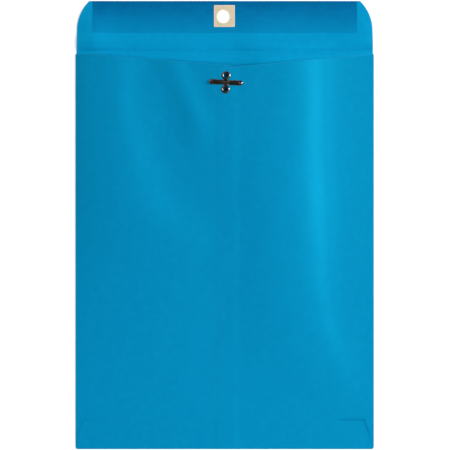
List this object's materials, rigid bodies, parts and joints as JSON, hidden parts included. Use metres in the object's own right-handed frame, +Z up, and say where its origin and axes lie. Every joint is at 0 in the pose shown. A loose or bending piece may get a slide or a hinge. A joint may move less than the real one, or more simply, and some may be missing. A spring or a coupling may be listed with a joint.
{
  "type": "clasp envelope",
  "caption": "Flat paper catalogue envelope with a centre seam, a gummed seal flap with a reinforced hole, and a metal clasp with bending prongs.",
  "frame": {"origin": "middle of the front panel's outer face, which lies on the table, halfway between the side folds and between the bottom fold and the flap crease", "axes": "+X across the envelope, +Y from the bottom fold towards the mouth and the seal flap, +Z up from the table towards the clasp side"},
  "size_m": [0.2286, 0.3433, 0.0065],
  "materials": {
    "envelope_paper": "satin",
    "dried_gum": "gloss",
    "seam_adhesive": "matte",
    "patch_paper": "matte",
    "tinned_steel": "polished"
  },
  "bodies": {
    "pouch": {"front_panel": "envelope_paper", "left_back_panel": "envelope_paper", "right_back_panel": "envelope_paper", "centre_seam_glue": "seam_adhesive", "bottom_flap": "envelope_paper", "bottom_flap_glue": "seam_adhesive", "clasp_base": "tinned_steel"},
    "flap": {"seal_flap": "envelope_paper", "flap_gum_strip": "dried_gum", "flap_hole_patch": "patch_paper"},
    "left_prong": {"clasp_left_prong": "tinned_steel"},
    "right_prong": {"clasp_right_prong": "tinned_steel"}
  },
  "joints": [
    {"name": "flap_fold", "type": "hinge", "parent": "pouch", "child": "flap", "pos_m": [0, 0.1524, 0.00285], "axis": [1, 0, 0], "range_deg": [0, 176]},
    {"name": "left_prong_bend", "type": "hinge", "parent": "pouch", "child": "left_prong", "pos_m": [-0.0001, 0.12805, 0.006], "axis": [0.0523, 0.9986, 0], "range_deg": [0, 90]},
    {"name": "right_prong_bend", "type": "hinge", "parent": "pouch", "child": "right_prong", "pos_m": [0.0019, 0.12795, 0.006], "axis": [-0.0523, -0.9986, 0], "range_deg": [0, 90]}
  ]
}
